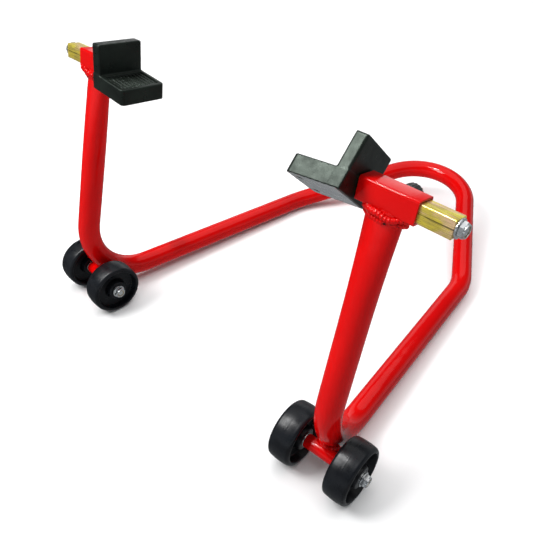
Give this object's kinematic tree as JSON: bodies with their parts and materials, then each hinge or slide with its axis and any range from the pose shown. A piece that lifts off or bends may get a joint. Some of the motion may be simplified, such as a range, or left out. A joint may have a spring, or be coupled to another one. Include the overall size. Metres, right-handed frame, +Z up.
{
  "type": "motorcycle paddock stand",
  "caption": "Bent tube floor stand on rollers that lifts a motorcycle by its swingarm on two rubber pads, which slide in and out and swivel.",
  "frame": {"origin": "on the floor, under the middle of the stand's overall box", "axes": "+Z up, +Y from the wheels towards the handle, +X to the right side"},
  "size_m": [0.5486, 0.626, 0.3718],
  "materials": {
    "red_paint": "gloss red paint over welded steel tube",
    "yellow_zinc": "yellow passivated zinc plate on drawn square bar",
    "clear_zinc": "clear zinc plate on bolts, nuts, washers, bushes and brackets",
    "black_rubber": "moulded black rubber, satin",
    "wheel_plastic": "moulded blue-black plastic, half gloss",
    "knob_plastic": "moulded black plastic",
    "nylon": "natural nylon locking rings"
  },
  "bodies": {
    "frame": {"handle_end": "red_paint", "right_upright": "red_paint", "right_lower_bend": "red_paint", "right_rail": "red_paint", "right_knee_bend": "red_paint", "right_handle_arm": "red_paint", "right_sleeve": "red_paint", "right_sleeve_weld": "red_paint", "right_clamp_boss": "red_paint", "right_axle_tube": "red_paint", "right_axle_weld": "red_paint", "right_axle_bolt": "clear_zinc", "right_axle_nut": "clear_zinc", "right_axle_nut_insert": "nylon", "right_axle_washers": "clear_zinc", "left_upright": "red_paint", "left_lower_bend": "red_paint", "left_rail": "red_paint", "left_knee_bend": "red_paint", "left_handle_arm": "red_paint", "left_sleeve": "red_paint", "left_sleeve_weld": "red_paint", "left_clamp_boss": "red_paint", "left_axle_tube": "red_paint", "left_axle_weld": "red_paint", "left_axle_bolt": "clear_zinc", "left_axle_nut": "clear_zinc", "left_axle_nut_insert": "nylon", "left_axle_washers": "clear_zinc"},
    "wheel_right_outer": {"right_outer_wheel": "wheel_plastic", "right_outer_wheel_bush": "clear_zinc"},
    "wheel_right_inner": {"right_inner_wheel": "wheel_plastic", "right_inner_wheel_bush": "clear_zinc"},
    "adjuster_right": {"right_adjuster_bar": "yellow_zinc"},
    "clamp_right": {"right_clamp_knob": "knob_plastic", "right_clamp_stud": "clear_zinc"},
    "pad_right": {"right_rubber_pad": "black_rubber", "right_pad_bracket": "clear_zinc", "right_pad_screws": "clear_zinc", "right_swivel_bolt": "clear_zinc", "right_swivel_washer": "clear_zinc", "right_swivel_nut": "clear_zinc", "right_swivel_nut_insert": "nylon"},
    "wheel_left_outer": {"left_outer_wheel": "wheel_plastic", "left_outer_wheel_bush": "clear_zinc"},
    "wheel_left_inner": {"left_inner_wheel": "wheel_plastic", "left_inner_wheel_bush": "clear_zinc"},
    "adjuster_left": {"left_adjuster_bar": "yellow_zinc"},
    "clamp_left": {"left_clamp_knob": "knob_plastic", "left_clamp_stud": "clear_zinc"},
    "pad_left": {"left_rubber_pad": "black_rubber", "left_pad_bracket": "clear_zinc", "left_pad_screws": "clear_zinc", "left_swivel_bolt": "clear_zinc", "left_swivel_washer": "clear_zinc", "left_swivel_nut": "clear_zinc", "left_swivel_nut_insert": "nylon"}
  },
  "joints": [
    {"name": "right_outer_wheel_roll", "type": "hinge", "parent": "frame", "child": "wheel_right_outer", "pos_m": [0.24371, -0.27298, 0.035], "axis": [0.9976, 0.0698, 0], "continuous": true},
    {"name": "right_inner_wheel_roll", "type": "hinge", "parent": "frame", "child": "wheel_right_inner", "pos_m": [0.17269, -0.27795, 0.035], "axis": [0.9976, 0.0698, 0], "continuous": true},
    {"name": "right_bar_slide", "type": "slide", "parent": "frame", "child": "adjuster_right", "axis": [-1, 0, 0], "range_m": [-0.0012, 0.03]},
    {"name": "right_clamp_turn", "type": "hinge", "parent": "frame", "child": "clamp_right", "pos_m": [0.212, -0.22187, 0.3272], "axis": [0, 0.9848, -0.1736], "range_deg": [0, 360]},
    {"name": "right_pad_swivel", "type": "hinge", "parent": "adjuster_right", "child": "pad_right", "pos_m": [0.17, -0.22187, 0.3272], "axis": [1, 0, 0], "range_deg": [-47, 133]},
    {"name": "left_outer_wheel_roll", "type": "hinge", "parent": "frame", "child": "wheel_left_outer", "pos_m": [-0.24371, -0.27298, 0.035], "axis": [0.9976, -0.0698, 0], "continuous": true},
    {"name": "left_inner_wheel_roll", "type": "hinge", "parent": "frame", "child": "wheel_left_inner", "pos_m": [-0.17269, -0.27795, 0.035], "axis": [0.9976, -0.0698, 0], "continuous": true},
    {"name": "left_bar_slide", "type": "slide", "parent": "frame", "child": "adjuster_left", "axis": [1, 0, 0], "range_m": [-0.0012, 0.03]},
    {"name": "left_clamp_turn", "type": "hinge", "parent": "frame", "child": "clamp_left", "pos_m": [-0.212, -0.22187, 0.3272], "axis": [0, 0.9848, -0.1736], "range_deg": [0, 360]},
    {"name": "left_pad_swivel", "type": "hinge", "parent": "adjuster_left", "child": "pad_left", "pos_m": [-0.17, -0.22187, 0.3272], "axis": [1, 0, 0], "range_deg": [-83, 97]}
  ]
}
